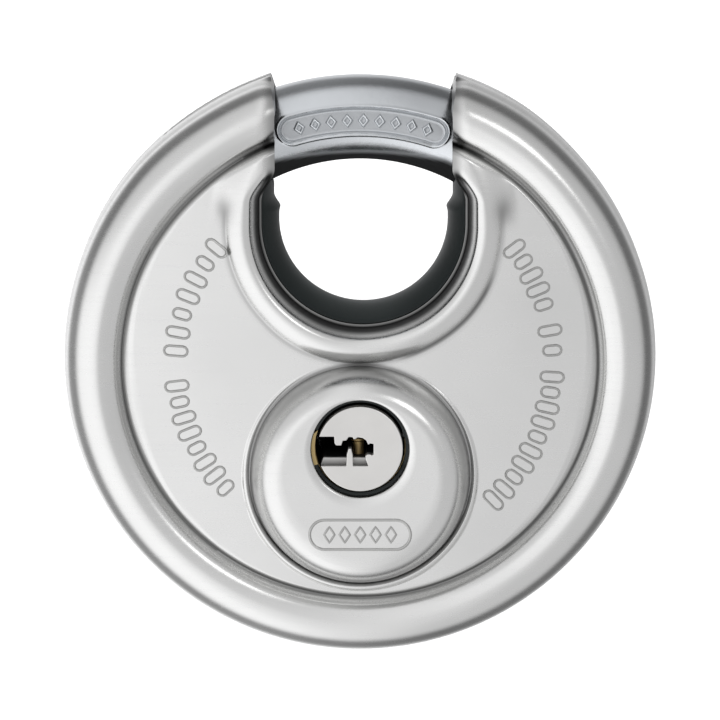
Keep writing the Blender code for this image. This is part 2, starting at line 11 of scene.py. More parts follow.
import bmesh
import bpy
import numpy as np
from mathutils import Matrix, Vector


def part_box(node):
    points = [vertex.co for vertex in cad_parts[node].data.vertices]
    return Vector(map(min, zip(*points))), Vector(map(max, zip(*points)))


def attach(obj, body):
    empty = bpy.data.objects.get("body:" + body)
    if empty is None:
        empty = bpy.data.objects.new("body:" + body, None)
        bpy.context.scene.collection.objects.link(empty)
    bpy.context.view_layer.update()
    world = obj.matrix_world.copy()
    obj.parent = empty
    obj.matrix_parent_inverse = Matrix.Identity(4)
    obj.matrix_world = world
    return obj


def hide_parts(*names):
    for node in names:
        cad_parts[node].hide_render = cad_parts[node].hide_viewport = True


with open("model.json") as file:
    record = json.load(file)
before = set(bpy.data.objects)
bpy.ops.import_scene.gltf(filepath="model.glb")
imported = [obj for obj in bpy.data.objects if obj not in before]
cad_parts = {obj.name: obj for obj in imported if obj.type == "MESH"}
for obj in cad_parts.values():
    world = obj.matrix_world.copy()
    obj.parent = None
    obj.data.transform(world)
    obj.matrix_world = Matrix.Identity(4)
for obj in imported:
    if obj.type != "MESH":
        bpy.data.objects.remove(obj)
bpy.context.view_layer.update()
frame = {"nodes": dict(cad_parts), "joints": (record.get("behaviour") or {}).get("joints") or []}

MM = 0.001
JOINT_AT = {joint["name"]: joint["pos_m"] for joint in frame["joints"]}
DISC_Z = JOINT_AT["shackle_swing"][2] / MM
PLUG_Y = JOINT_AT["key_turn"][2] / MM - DISC_Z

# Case halves
DISC_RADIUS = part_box("front_shell")[1].x / MM
FRONT_BOSS = -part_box("front_shell")[0].y / MM
REAR_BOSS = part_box("rear_shell")[1].y / MM
SHEET = 1.4
SEAM = 0.15
WEB = 8.3
CROWN = 0.7
GROOVE_RADIUS = 28.0
GROOVE_HEIGHT = 7.85
RIM_BEND_AT = 31.1
RIM_BEND = 3.55
RIM_FALL = 4.5
RIM_TOP = 9.5
BOSS_Y = -13.1
BOSS_EDGE = 14.1
BOSS_SHOULDER = 10.2
KEYHOLE = 5.7

# Marks on the case. Each arc of marks is its side, radius, first and last clock angle, and count. A bead
# is its width and height.
MARKS = (
    (-1, 21.7, 51, 86, 7),
    (-1, 21.7, 97, 133, 8),
    (1, 22.6, 53, 72, 5),
    (1, 22.6, 80, 86, 2),
    (1, 22.6, 94, 136, 10),
)
MARK_RADIUS = 0.58
MARK_LONG = 0.8
MARK_SHORT = 0.5
MARK_BEAD = (0.32, 0.2)
BADGE_Y = BOSS_Y - 6.3
BADGE_HALF_LENGTH = 4.15
BADGE_RADIUS = 1.75
BADGE_BEAD = (0.36, 0.17)
BADGE_SINK = 0.01
DIAMOND = ((-0.62, 0), (0, 0.95), (0.62, 0), (0, -0.95))
DIAMOND_BEAD = (0.28, 0.14)
DIAMONDS = 5
DIAMONDS_REACH = 3.6

# Throat
THROAT_Y = 16.3
SHEET_THROAT = 12.0
COLLAR_RADIUS = 16.2
COLLAR_HEIGHT = 1.05
SLOT_HALF = 10.4
SHOULDER_LOW = 18.9
SHOULDER_HIGH = 23.0
THROAT_LIP = (
    (0, 3.7), (0.3, 3.6), (0.42, 3.2), (0.8, 1.85), (1.12, 0.75), (1.4, 0.24), (1.8, 0.04), (2.2, 0),
)
SLOT_LIP = ((0, 0.42), (0.4, 0.27), (0.8, 0.14), (1.3, 0.04), (1.9, 0))
THROAT_SHIFT = 0.4
LINER_HALF = 9.96
LINER_OUTSIDE = 11.93
LINER_LIP = 5.75
LINER_TOP = 22.3
INNER_TOP_HALF = 10.55
NICK_Y = 17.7
NICK = 0.14

# Shackle
WIRE = 5.0
ARC = WIRE - DISC_Z
FREE_END = -45
TAIL_END = 190
BAR_FLAT = -2.4
BAR_FLAT_FROM = 96
PANEL_HALF_LENGTH = 10.2
PANEL_HALF_HEIGHT = 1.72
PANEL_DEPTH = 0.34
PANEL_SHIFT = 0.4
PANEL_CLOCK = 23
PANEL_TURN = 27
PANEL_PITCH = 1.9

# Plug
PLUG_RADIUS = 5.0
PLUG_FACE = 13.9
KEYWAY_BACK = -1.4
KEYWAY_FLOOR = -2.0
KEYWAY_SILL = -1.15
KEYWAY_LEDGE = 13.0
KEYWAY_ROOF = 1.45
NO_FLOOR = -9.0
PLUG_TAIL_TOP = 1.8
PIN_X = -0.2
PIN_RADIUS = 0.88
PIN_TOPS = (0.75, 0.3, 0.7, 0.1, 0.5)
FIRST_PIN = 9.8
PIN_PITCH = 2.6

# Drill plate
PLATE_RADIUS = 8.9
PLATE_HOLE = 5.32
PLATE_FRONT = 12.5
PLATE_BACK = 12.0

# Two faces that meet at more than this many degrees have a sharp edge between them
SHARP = 40
SHARP_SHEET = 50
SHARP_PIN = 35
SHARP_PLUG = 15

# Near black: the colour of painted shade, in the folds, under the shackle and deep in the keyway
SHADE_BLACK = (0.012, 0.012, 0.012, 1)

# Setting, in millimetres and degrees
FLOOR = -130.0
TENT = (
    (-1, 0.95), (-0.8, 0.97), (-0.2, 0.94), (0, 0.74), (0.13, 0.4), (0.25, 0.22), (0.7, 0.3), (0.85, 0.8),
    (1, 0.9),
)
FLOOR_HALF = 6.0
CAMERA_DISTANCE = 700.0
CAMERA_ABOVE = 8.3
FRAME_WIDTH = 85.6
AIM_X = -0.01
AIM_Y = -0.8


# ---------------------------------------------------------------- lines and profiles


def eased(t):
    """0 to 1 with level ends: 3 t^2 - 2 t^3, held at 0 before and 1 after."""
    t = np.clip(t, 0, 1)
    return t * t * (3 - 2 * t)


def bell(distance, width):
    """A bell curve: 1 at no distance, 0.37 at one width."""
    return np.exp(-((distance / width) ** 2))


def flow(points, steps):
    """A smooth line through the points (Catmull-Rom), steps samples to a span."""
    p = np.array(points, float)
    p = np.vstack([2 * p[0] - p[1], p, 2 * p[-1] - p[-2]])
    t = np.linspace(0, 1, steps, endpoint=False)[:, None]
    spans = []
    for a, b, c, d in zip(p[:-3], p[1:-2], p[2:-1], p[3:]):
        bend = (2 * a - 5 * b + 4 * c - d) * t**2 + (3 * b - a - 3 * c + d) * t**3
        spans.append(b + ((c - a) * t + bend) / 2)
    return np.vstack([*spans, p[-2:-1]])


def level(points, at):
    """The height of a smooth profile of (radius, height) at each radius."""
    curve = flow(points, 12)
    return np.interp(at, curve[:, 0], curve[:, 1])


def on_circle(radius, clock, centre_y=0.0):
    turn = np.radians(clock)
    return np.stack([radius * np.sin(turn), centre_y + radius * np.cos(turn)], axis=-1)


def clock_of(points, centre_y=0.0):
    """Clock angles of points about (0, centre_y), unwrapped along the line."""
    turn = np.arctan2(points[..., 0], points[..., 1] - centre_y)
    return np.degrees(np.unwrap(turn))


def mirrored(half):
    """A line from the right side to the middle, carried on to the left side."""
    return np.concatenate([half, (half * [-1, 1])[-2::-1]])


def at_height(xy, z):
    """Flat points with a height each, or one height for them all."""
    return np.concatenate([xy, np.broadcast_to(z, xy.shape[:-1])[..., None]], axis=-1)


def grid_faces(rows, columns, ring=False):
    """Four-sided faces between neighbouring rows and columns. A ring's last column meets its first."""
    i, j = np.meshgrid(np.arange(rows - 1), np.arange(columns if ring else columns - 1), indexing="ij")
    a = i * columns + j
    b = i * columns + (j + 1) % columns
    return np.stack([a, b, b + columns, a + columns], axis=-1).reshape(-1, 4)


def closed_bar(grid):
    """A grid whose rows run along a bar and whose columns are its sections, closed all round."""
    grid = np.concatenate([grid, grid[:1]])
    rows, columns = grid.shape[:2]
    ends = [[row * columns + column for row in range(rows - 1)] for column in (0, columns - 1)]
    return grid.reshape(-1, 3), grid_faces(rows, columns).tolist() + ends


# ---------------------------------------------------------------- pieces


def upright(points):
    """Bench frame in millimetres to the world in metres: (x, y, z) goes to (x, -z, y + disc)."""
    return np.stack([points[:, 0], -points[:, 2], points[:, 1] + DISC_Z], axis=1) * MM


def piece(name, points, faces, body, finish, stands_for=(), sharp=SHARP):
    """One object from bench points and faces: doubles merged, faces turned outwards, shaded round."""
    mesh = bpy.data.meshes.new(name)
    mesh.from_pydata(upright(points).tolist(), [], [list(face) for face in faces])
    shape = bmesh.new()
    shape.from_mesh(mesh)
    bmesh.ops.remove_doubles(shape, verts=shape.verts, dist=1e-6)
    bmesh.ops.recalc_face_normals(shape, faces=shape.faces)
    shape.to_mesh(mesh)
    shape.free()
    mesh.shade_smooth()
    mesh.set_sharp_from_angle(angle=math.radians(sharp))
    made = bpy.data.objects.new(name, mesh)
    bpy.context.scene.collection.objects.link(made)
    mesh.materials.append(finish.material)
    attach(made, body)
    if stands_for:
        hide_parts(*stands_for)
    return made


def bench_places(mesh):
    """Bench x, y and z of every vertex, in millimetres."""
    at = np.empty(len(mesh.vertices) * 3, np.float32)
    mesh.vertices.foreach_get("co", at)
    x, back, up = (at.reshape(-1, 3).astype(float) / MM).T
    return x, up - DISC_Z, -back


def note_painted_shade(made, amounts):
    """Notes the painted shade at every vertex, 0 to 1, as an attribute that the finishes read."""
    note = made.data.attributes.new("painted_shade", "FLOAT", "POINT")
    note.data.foreach_set("value", np.clip(amounts, 0, 1).astype(np.float32))
    return made


def joined(shapes):
    """Several (points, faces) as one, faces as a list."""
    points, faces, start = [], [], 0
    for shape_points, shape_faces in shapes:
        points.append(shape_points)
        faces += [[corner + start for corner in face] for face in np.asarray(shape_faces).tolist()]
        start += len(shape_points)
    return np.concatenate(points), faces


# ---------------------------------------------------------------- pressed halves of the case

RIM_TURN = np.arange(1, 7) * math.pi / 12
RIM = (
    (GROOVE_RADIUS, GROOVE_HEIGHT),
    (28.5, 8.3),
    (28.85, 8.82),
    (29.5, 9.25),
    (30.4, 9.45),
    (RIM_BEND_AT, RIM_TOP),
    *((RIM_BEND_AT + RIM_BEND * math.sin(a), RIM_TOP - RIM_FALL * (1 - math.cos(a))) for a in RIM_TURN),
    (DISC_RADIUS - 0.12, 3.8),
    (DISC_RADIUS, 2.6),
    (DISC_RADIUS, SEAM),
)
COLLAR = (
    (11.0, 0.7), (12.4, 0.82), (13.4, 0.98), (14.4, COLLAR_HEIGHT), (15.1, 0.88), (15.7, 0.5),
    (16.05, 0.16), (COLLAR_RADIUS, 0),
)
BEAD = ((13.0, 8.5), (13.22, 8.82), (13.5, 8.98), (13.8, 8.8), (BOSS_EDGE, WEB))


def dome(height):
    """The boss's profile from its shoulder down to the valley beside its bead."""
    drops = ((9.6, 0), (10.2, 0.1), (10.9, 0.42), (11.6, 1.1), (12.2, 2.2), (12.6, 3.5), (12.85, 4.8))
    return [(radius, height - drop) for radius, drop in drops] + [(BEAD[0][0], BEAD[0][1])]


def web_height(points):
    """Nearly flat: a slight crown, falling away beside the groove at the foot of the rim."""
    r = np.hypot(points[..., 0], points[..., 1])
    crown = CROWN * (1 - (r / GROOVE_RADIUS) ** 2)
    return WEB + crown - (WEB - GROOVE_HEIGHT) * eased((r - 27.4) / (GROOVE_RADIUS - 27.4))


def ground(points):
    """The web with the collar's ridge on it: a crisp foot below, and a soft one up the arms."""
    r = np.hypot(points[..., 0], points[..., 1])
    from_throat = np.hypot(points[..., 0], points[..., 1] - THROAT_Y)
    crisp = np.where(from_throat < COLLAR_RADIUS, level(COLLAR, from_throat), 0)
    soft = COLLAR_HEIGHT * (1 - eased((from_throat - 14.2) / 4.0))
    up_the_arm = eased((points[..., 1] - 15.5) / 5.5)
    ridge = crisp + (soft - crisp) * up_the_arm
    return web_height(points) + ridge * (1 - eased((r - 27.0) / (GROOVE_RADIUS - 27.0)))


def opening_half(y):
    """Half the opening's width: the slot's above, the throat's below, and an S-curve between them."""
    widening = eased((SHOULDER_HIGH - y) / (SHOULDER_HIGH - SHOULDER_LOW))
    return SLOT_HALF + (SHEET_THROAT - SLOT_HALF) * widening


def lip_drop(gap, y):
    """How far the sheet is turned down, by the distance from its edge: a little at the slot, deep in the
    throat."""
    deep = eased((SHOULDER_HIGH + 0.2 - y) / (SHOULDER_HIGH - SHOULDER_LOW))
    return level(SLOT_LIP, gap) * (1 - deep) + level(THROAT_LIP, gap) * deep


def collar_lines():
    """The sheet's edge round the opening, the collar's outer line with the boss's bead cut into it, and
    the place in both of the corner where the bead meets the collar."""
    arm, side = 44, 80
    cusp_y = (GROOVE_RADIUS**2 - COLLAR_RADIUS**2 + THROAT_Y**2) / (2 * THROAT_Y)
    cusp = math.degrees(math.atan2(math.sqrt(GROOVE_RADIUS**2 - cusp_y**2), cusp_y - THROAT_Y))
    between = THROAT_Y - BOSS_Y
    far = COLLAR_RADIUS**2 + between**2 - BOSS_EDGE**2
    meet = 180 - math.degrees(math.acos(far / (2 * between * COLLAR_RADIUS)))
    edge_top = math.sqrt(GROOVE_RADIUS**2 - SLOT_HALF**2)
    y = np.linspace(edge_top, THROAT_Y, arm + 1)
    beside = np.stack([opening_half(y), y], axis=1)
    bottom = np.concatenate([np.linspace(90, meet, side + 1), np.linspace(meet, 180, 17)[1:]])
    edge = np.concatenate([beside, on_circle(SHEET_THROAT, bottom[1:], THROAT_Y)])
    clock = np.concatenate([np.linspace(cusp, 90, arm + 1), bottom[1:]])
    cosine = between * np.cos(np.radians(clock))
    under_root = np.maximum(cosine**2 - between**2 + BOSS_EDGE**2, 0)
    to_bead = np.where(clock > meet - 1e-9, -cosine - np.sqrt(under_root), COLLAR_RADIUS)
    outer = on_circle(np.minimum(to_bead, COLLAR_RADIUS), clock, THROAT_Y)
    return mirrored(edge), mirrored(outer), arm + side


def collar_patch(edge, outer):
    """Straight lines from the sheet's edge to the collar's outer line. Those near the ends bend along the
    groove."""
    gaps = (0, 0.1, 0.2, 0.29, 0.33, 0.38, 0.45, 0.55, 0.67, 0.8, 0.95, 1.1, 1.22, 1.35, 1.5, 1.7, 1.9)
    t = np.concatenate([gaps, np.linspace(2.15, 4.2, 11)]) / 4.2
    xy = edge + (outer - edge) * t[:, None, None]
    bend = GROOVE_RADIUS / np.linalg.norm(xy[:, :1], axis=-1) - 1
    from_end = np.minimum(np.arange(len(edge)), np.arange(len(edge))[::-1])
    xy = xy * (1 + bend * np.clip(1 - from_end / 8, 0, 1))[..., None]
    beside = np.abs(xy[..., 0]) - opening_half(xy[..., 1])
    around = np.hypot(xy[..., 0], xy[..., 1] - THROAT_Y) - SHEET_THROAT
    gap = np.where(xy[..., 1] > THROAT_Y, beside, around)
    return at_height(xy, ground(xy) - lip_drop(gap, xy[..., 1]))


def boss_ring(outer, corner, steps=150):
    """The bead's foot: the stretch that cuts into the collar, then round the bottom of the boss."""
    top = outer[corner : len(outer) - corner]
    low = clock_of(top[:1], BOSS_Y)[0]
    bottom = on_circle(BOSS_EDGE, np.linspace(low, 360 - low, steps + 1), BOSS_Y)
    return top, bottom


def boss_patch(top, bottom, height, keyhole):
    """Rings from the keyhole, or from the middle, out over the dome and the bead to the bead's foot."""
    ring = np.concatenate([bottom[:-1], top[::-1][:-1]])
    clock = clock_of(ring, BOSS_Y)
    profile = dome(height)
    shoulder = on_circle(BOSS_SHOULDER, clock, BOSS_Y)
    rows = []
    if keyhole:
        for beyond, drop in ((0, 0.45), (0.04, 0.22), (0.14, 0.07), (0.32, 0)):
            xy = on_circle(KEYHOLE + beyond, clock, PLUG_Y)
            rows.append((xy, level(profile, np.hypot(xy[:, 0], xy[:, 1] - BOSS_Y)) - drop))
        inner = rows[-1][0]
    else:
        inner = np.broadcast_to([0.0, BOSS_Y], shoulder.shape)
        rows.append((inner, np.full(len(inner), height)))
    for t in np.linspace(0, 1, 8)[1:]:
        xy = inner + (shoulder - inner) * t
        rows.append((xy, level(profile, np.hypot(xy[:, 0], xy[:, 1] - BOSS_Y))))
    curve = flow(profile[1:], 4)
    curve[:, 1] = level(profile, curve[:, 0])
    for radius, z in np.concatenate([curve[1:], flow(BEAD, 4)[1:]]):
        xy = ring if radius == BOSS_EDGE else on_circle(radius, clock, BOSS_Y)
        rows.append((xy, np.maximum(z, ground(xy))))
    grid = np.stack([at_height(xy, z) for xy, z in rows])
    return np.concatenate([grid, grid[:, :1]], axis=1)


def web_patch(outer, bottom, corner):
    """Straight lines from the collar's and the boss's outer lines to the groove. Along each line the
    points are closest together at both ends."""
    inner = np.concatenate([outer[:corner], bottom, outer[len(outer) - corner :]])
    cusp = clock_of(outer[:1])[0]
    sides = np.linspace(cusp, 100, corner + 1)
    clock = np.concatenate([sides[:-1], np.linspace(100, 260, len(bottom)), 360 - sides[:-1][::-1]])
    rim = on_circle(GROOVE_RADIUS, clock)
    t = (1 - np.cos(np.linspace(0, math.pi, 23))) / 2
    xy = inner + (rim - inner) * t[:, None, None]
    return at_height(xy, ground(xy)), clock


def rim_patch(collar, web_clock):
    """The rim's profile carried round from one cut edge to the other. Beside the slot its columns follow
    the cut. Also the way into the sheet at every point."""
    right = clock_of(collar[:, 0, :2])
    clock = np.concatenate([right[:-1], web_clock, 360 - right[::-1][1:]])
    profile = flow(RIM, 3)
    r, z = profile[:, :1], profile[:, 1:]
    half = SLOT_HALF + 0.55 * eased((r - 31.0) / 4.0)
    shift = np.degrees(np.arcsin(half / r)) - math.degrees(math.asin(SLOT_HALF / GROOVE_RADIUS))
    near = 1 - eased((clock - clock[0]) / 30)
    turn = clock + shift * (near - near[::-1])
    xy = on_circle(r, turn)
    along = np.gradient(profile, axis=0)
    along /= np.linalg.norm(along, axis=1)[:, None]
    inward = np.stack([along[:, 1], -along[:, 0]], axis=1)
    inward[0] = (0, -1)
    inward[-1] = (-1, 0)
    step = at_height(on_circle(1.0, turn) * inward[:, :1, None], inward[:, 1:])
    far = 99
    gap = np.where(xy[..., 1] > 0, np.abs(xy[..., 0]) - half, far)
    drop = lip_drop(gap, xy[..., 1]) * (r < DISC_RADIUS)
    return at_height(xy, z) + step * drop[..., None], step


def offset(x, y):
    """How far right a place stands: the throat's shift, dying away to the sides and the boss."""
    return THROAT_SHIFT * eased(y / 6.0) * (1 - eased((np.abs(x) - 17.0) / 10.0))


def moved_over(points, across=1):
    """Points with the throat a little to the right of the middle, or to the left with across at -1."""
    return points + offset(points[:, 0], points[:, 1])[:, None] * [across, 0, 0]


def painted_shade_amounts(x, y, gap):
    """Painted shade, and duller metal, on a half: shade painted in the folds, and dark reflections painted
    along the turned-in edges. Bell curves about the groove, the valley round the boss, the foot of the
    collar (deeper on the lower right, the side away from the light) and the corners where the ridges
    meet, and bands by the distance from the sheet's edge."""
    r = np.hypot(x, y)
    boss = np.hypot(x, y - BOSS_Y)
    throat = np.hypot(x, y - THROAT_Y)
    clock = np.degrees(np.arctan2(np.abs(x), y - THROAT_Y))
    corner = eased((y - 23.5) / 1.0) * (1 - eased((np.abs(x) - 12.0) / 4.0))
    groove = (0.74 + 0.2 * corner) * bell(r - GROOVE_RADIUS + 0.08, 0.33)
    valley = 0.5 * bell(boss - 13.05, 0.3) + 0.42 * bell(boss - 12.4, 0.45)
    lower_right = eased((x - 3.0) / 4.0) * eased((clock - 105) / 15) * (1 - eased((clock - 160) / 10))
    below_arms = 1 - eased((y - 16) / 3.0)
    foot = (0.3 + 0.5 * lower_right) * bell(throat - COLLAR_RADIUS - 0.1, 0.32) * below_arms
    spot = 0.45 * bell(np.abs(x) - 16.4, 1.0) * bell(y - 18.2, 1.6)
    in_slot = eased((y - 21.8) / 1.6)
    curl = (0.7 + 0.26 * eased(gap / 0.35)) * (1 - eased((gap - 0.6) / 0.5)) * (1 - in_slot)
    slot = 0.5 * (1 - eased(gap / 1.7)) * in_slot
    return groove + valley + foot + spot + curl + slot


def shade_the_half(made, across):
    """Paints shade on the front half, with across at 1, or the rear half, whose right side is at -X, with
    across at -1."""
    x, y, _ = bench_places(made.data)
    x = x * across
    x = x - offset(x, y)
    beside = np.abs(x) - opening_half(y)
    around = np.hypot(x, y - THROAT_Y) - SHEET_THROAT
    return note_painted_shade(made, painted_shade_amounts(x, y, np.where(y > THROAT_Y, beside, around)))


def pressed_half(height, keyhole):
    """One closed sheet: the outside, the same surface a sheet's thickness inside it, and a wall along each
    free edge. Corners that meet are made one, and a face left with three corners is kept as a triangle."""
    edge, outer, corner = collar_lines()
    collar = collar_patch(edge, outer)
    top, bottom = boss_ring(outer, corner)
    boss = boss_patch(top, bottom, height, keyhole)
    web, web_clock = web_patch(outer, bottom, corner)
    rim, rim_inward = rim_patch(collar, web_clock)
    down = np.array([0.0, 0.0, -1.0])
    outside, inside, faces, start = [], [], [], 0
    for grid, inward in ((collar, down), (boss, down), (web, down), (rim, rim_inward)):
        outside.append(grid.reshape(-1, 3))
        inside.append((grid + inward * SHEET).reshape(-1, 3))
        faces.append(grid_faces(*grid.shape[:2]) + start)
        start += grid.shape[0] * grid.shape[1]
    outside, inside, faces = np.concatenate(outside), np.concatenate(inside), np.concatenate(faces)
    _, first, index = np.unique(np.round(outside, 4), axis=0, return_index=True, return_inverse=True)
    faces = index.reshape(-1)[faces]
    same = faces == np.roll(faces, -1, axis=1)
    four = faces[same.sum(axis=1) == 0]
    pinched = same.sum(axis=1) == 1
    order = (same[pinched].argmax(axis=1)[:, None] + np.arange(1, 4)) % 4
    three = np.take_along_axis(faces[pinched], order, axis=1)
    pairs = [np.stack([f, np.roll(f, -1, axis=1)], axis=-1).reshape(-1, 2) for f in (four, three)]
    sides = np.concatenate(pairs)
    count = len(first)
    met = np.isin(sides[:, 0] * count + sides[:, 1], sides[:, 1] * count + sides[:, 0])
    free = sides[~met]
    walls = np.stack([free[:, 1], free[:, 0], free[:, 0] + count, free[:, 1] + count], axis=1)
    under = [(f + count)[:, ::-1].tolist() for f in (four, three)]
    points = np.concatenate([outside[first], inside[first]])
    return points, four.tolist() + three.tolist() + walls.tolist() + under[0] + under[1]


def front_shell(finish):
    points, faces = pressed_half(FRONT_BOSS, True)
    made = piece("front_half", moved_over(points), faces, "case", finish, ["front_shell"], SHARP_SHEET)
    return shade_the_half(made, 1)


def rear_shell(finish):
    points, faces = pressed_half(REAR_BOSS, False)
    points = moved_over(points, -1) * [-1, 1, -1]
    made = piece("rear_half", points, faces, "case", finish, ["rear_shell"], SHARP_SHEET)
    return shade_the_half(made, -1)


def rim_weld(finish):
    """The weld that closes the seam: a ring with a low crown, from one side of the slot round to the
    other."""
    half = np.array([(34.5, 0.3), (34.8, 0.26), (34.93, 0.14), (34.95, 0)])
    section = np.concatenate([half, (half * [1, -1])[-2::-1]])
    clock = np.linspace(18.6, 341.4, 400)
    ripple = 0.03 * np.sin(np.radians(clock) * 260)
    r = section[:, :1] + ripple * (section[:, :1] > 34.7)
    return piece("rim_weld", *closed_bar(at_height(on_circle(r, clock), section[:, 1:])), "case", finish)


# ---------------------------------------------------------------- marks pressed into the case


def laid_bead(path, width, height, surface):
    """A low bead round a closed line: its section is the upper part of an ellipse, laid on the case's
    surface."""
    ahead = np.roll(path, -1, axis=0) - np.roll(path, 1, axis=0)
    side = np.stack([ahead[:, 1], -ahead[:, 0]], axis=1) / np.linalg.norm(ahead, axis=1)[:, None]
    turn = np.radians(np.linspace(-40, 220, 8))[:, None]
    xy = path + side * (np.cos(turn) * width / 2)[..., None]
    grid = at_height(xy, surface(xy) + np.sin(turn) * height)
    return np.concatenate([grid, grid[:1]]).reshape(-1, 3), grid_faces(len(turn) + 1, len(path), ring=True)


def pill(half_length, radius, steps=7):
    """A closed line: two half circles joined by straight sides, about the origin, long way along X."""
    right = on_circle(radius, np.linspace(0, 180, steps))
    return np.concatenate([right + [half_length, 0], -right - [half_length, 0]])


def placed(path, clock, radius):
    """Turns a line drawn about the origin so that its +Y points outwards at a clock angle, and moves it
    out."""
    turn = math.radians(clock)
    across = np.array([math.cos(turn), -math.sin(turn)])
    outward = np.array([math.sin(turn), math.cos(turn)])
    return path[:, :1] * across + (path[:, 1:] + radius) * outward


def boss_top(xy):
    """The flat top of the front boss, a hair low so that a bead's foot is sunk in it."""
    return np.full(xy.shape[:-1], FRONT_BOSS - BADGE_SINK)


def boss_badge(finish):
    """A plain pill-shaped border with a row of diamonds in it, low on the boss."""
    border = pill(BADGE_HALF_LENGTH, BADGE_RADIUS, 17) + [0, BADGE_Y]
    shapes = [laid_bead(border, *BADGE_BEAD, boss_top)]
    sides = zip(np.array(DIAMOND), np.roll(DIAMOND, -1, axis=0))
    diamond = np.concatenate([np.linspace(a, b, 4, endpoint=False) for a, b in sides])
    for x in np.linspace(-DIAMONDS_REACH, DIAMONDS_REACH, DIAMONDS):
        shapes.append(laid_bead(diamond + [x, BADGE_Y], *DIAMOND_BEAD, boss_top))
    return piece("boss_badge", *joined(shapes), "case", finish)


def web_marks(finish):
    """Arcs of outlined pills beside the boss, each pressed as a fine bead, with some of them shorter."""
    shapes = []
    for side, radius, first, last, count in MARKS:
        for number, clock in enumerate(np.linspace(first, last, count)):
            half_length = MARK_SHORT if number % 3 == 1 else MARK_LONG
            upright_pill = pill(half_length, MARK_RADIUS)[:, ::-1]
            shapes.append(laid_bead(placed(upright_pill, side * clock, radius), *MARK_BEAD, ground))
    return piece("web_marks", *joined(shapes), "case", finish)


# ---------------------------------------------------------------- liner, shackle and cylinder


def throat_liner(finish):
    """A U carried round the throat: its inner side is a parabola, narrowest half way through, and its ends
    follow the shackle's round bar."""
    clock = np.linspace(90, 180, 70)
    y = np.linspace(1, 0, 30)
    through = np.linspace(LINER_LIP, -LINER_LIP, 29)
    out = np.concatenate([(through / LINER_LIP) ** 2, [1.0]])
    z = np.concatenate([through, [-LINER_LIP]])
    z[0] -= 0.12
    z[-2] += 0.12
    inner_bottom = on_circle(LINER_HALF, clock, THROAT_Y)
    outer_bottom = on_circle(LINER_OUTSIDE, clock, THROAT_Y)
    bar_edge = ARC - np.sqrt(np.maximum((WIRE + 0.3) ** 2 - z**2, 0))
    sections = []
    for across, end in zip(out, bar_edge):
        inner_top = min(math.sqrt(end**2 - INNER_TOP_HALF**2), LINER_TOP)
        outer_top = min(math.sqrt(end**2 - LINER_OUTSIDE**2), LINER_TOP - 0.5)
        inner_y = THROAT_Y + (inner_top - THROAT_Y) * y
        outer_y = THROAT_Y + (outer_top - THROAT_Y) * y
        nose = NICK * bell(inner_y - NICK_Y, 0.4)
        widened = (INNER_TOP_HALF - LINER_HALF) * eased((inner_y - NICK_Y) / 1.5)
        inner_side = np.stack([LINER_HALF + widened - nose, inner_y], axis=1)
        outer_side = np.stack([np.full(len(y), LINER_OUTSIDE), outer_y], axis=1)
        inner = mirrored(np.concatenate([inner_side[:-1], inner_bottom]))
        outer = mirrored(np.concatenate([outer_side[:-1], outer_bottom]))
        sections.append(inner + (outer - inner) * across)
    points, faces = closed_bar(at_height(np.stack(sections), z[:, None]))
    points = moved_over(points)
    return piece("throat_liner_fine", points, faces, "case", finish, ["throat_liner"], SHARP_SHEET)


def panel_relief(along, across):
    """A sunk pill with a fine raised edge and a line inside it, and a row of raised diamonds on its floor.
    Each diamond is sunk again in its middle."""
    beyond = np.maximum(np.abs(along) - (PANEL_HALF_LENGTH - PANEL_HALF_HEIGHT), 0)
    outside = np.hypot(beyond, across) - PANEL_HALF_HEIGHT
    sunk = PANEL_DEPTH * eased(-outside / 0.3)
    edge = 0.1 * bell(outside, 0.16)
    inner_line = 0.14 * bell(outside + 0.48, 0.13)
    local = (along + PANEL_PITCH * 50.5) % PANEL_PITCH - PANEL_PITCH / 2
    diamond = 1 - np.abs(local) / 0.76 - np.abs(across) / 0.98
    raised = 0.26 * eased(diamond / 0.3) - 0.22 * eased((diamond - 0.42) / 0.3)
    return edge + inner_line + raised * (np.abs(along) < 4.5 * PANEL_PITCH) - sunk


def bar_stations():
    """Clock angles along the shackle, close together at the panel, and the bar's size there, closing at
    both ends."""
    clock = np.concatenate([
        np.linspace(FREE_END, -PANEL_CLOCK, 26)[1:-1],
        np.linspace(-PANEL_CLOCK, PANEL_CLOCK, 420)[:-1],
        np.linspace(PANEL_CLOCK, BAR_FLAT_FROM, 60),
        np.linspace(BAR_FLAT_FROM + 0.1, TAIL_END, 70)[:-1],
    ])
    closing = np.array([0, 0.5, 0.78, 0.88, 0.94, 0.98])
    rounding = np.array([0, 0, 0, 0.2, 0.6, 1.3])
    size = np.concatenate([closing, np.ones(len(clock)), closing[::-1]])
    clock = np.concatenate([FREE_END + rounding, clock, TAIL_END - rounding[::-1]])
    order = np.argsort(clock, kind="stable")
    return clock[order], size[order]


